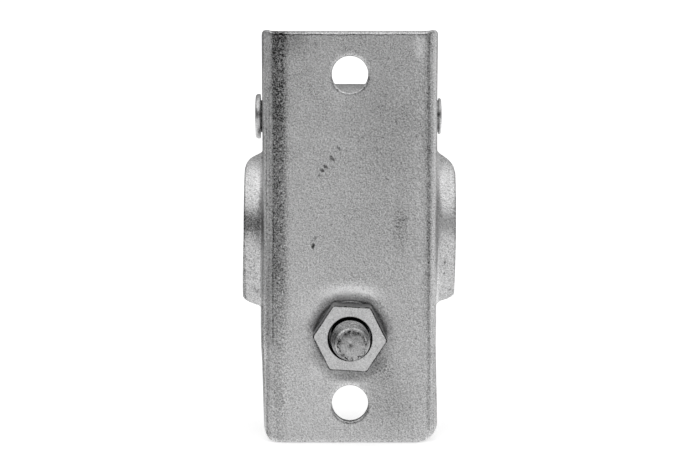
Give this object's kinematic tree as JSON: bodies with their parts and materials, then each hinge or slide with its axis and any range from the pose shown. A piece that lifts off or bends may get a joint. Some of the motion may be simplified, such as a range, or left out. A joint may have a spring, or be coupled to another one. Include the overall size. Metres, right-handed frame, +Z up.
{
  "type": "scaffold coupler clamp",
  "caption": "Pressed-steel half coupler: a channel body with a saddle for a scaffold tube, a hinged cap and a tee bolt with its nut at the back.",
  "frame": {"origin": "centre of the clamped tube, half way along the saddle", "axes": "+X along the clamped tube, -Y out of the flat back, +Y towards the hinged cap, +Z up towards the hinge"},
  "size_m": [0.0732, 0.087, 0.1401],
  "materials": {
    "zinc_sheet": "bright zinc plate on pressed sheet, satin, lightly mottled and scuffed",
    "zinc_strip": "bright zinc plate on heavy pressed strip, satin",
    "zinc_rivet": "zinc plate, set rivet, slightly polished on its heads",
    "zinc_bolt": "zinc plate, rolled thread, peened tip",
    "zinc_washer": "zinc plate, satin",
    "zinc_nut": "zinc plate, bright and slightly smoother than the sheet"
  },
  "bodies": {
    "body": {"channel_body": "zinc_sheet", "hinge_rivet": "zinc_rivet"},
    "cap": {"hinged_cap": "zinc_strip"},
    "bolt": {"tee_bolt": "zinc_bolt"},
    "washer": {"seat_washer": "zinc_washer"},
    "nut": {"bolt_nut": "zinc_nut"}
  },
  "joints": [
    {"name": "cap_hinge", "type": "hinge", "parent": "body", "child": "cap", "pos_m": [0, -0.004, 0.0399], "axis": [1, 0, 0], "range_deg": [0, 150]},
    {"name": "bolt_turn", "type": "hinge", "parent": "body", "child": "bolt", "pos_m": [0, -0.035, -0.0325], "axis": [0, 1, 0], "range_deg": [0, 90]},
    {"name": "nut_travel", "type": "slide", "parent": "bolt", "child": "washer", "axis": [0, -1, 0], "range_m": [0, 0.008]},
    {"name": "nut_spin", "type": "hinge", "parent": "washer", "child": "nut", "pos_m": [0, -0.043, -0.0325], "axis": [0, -1, 0], "range_deg": [0, 1440]}
  ],
  "couplings": [
    {"joint": "nut_travel", "follows": "nut_spin", "m_per_rad": 0.0003183}
  ]
}
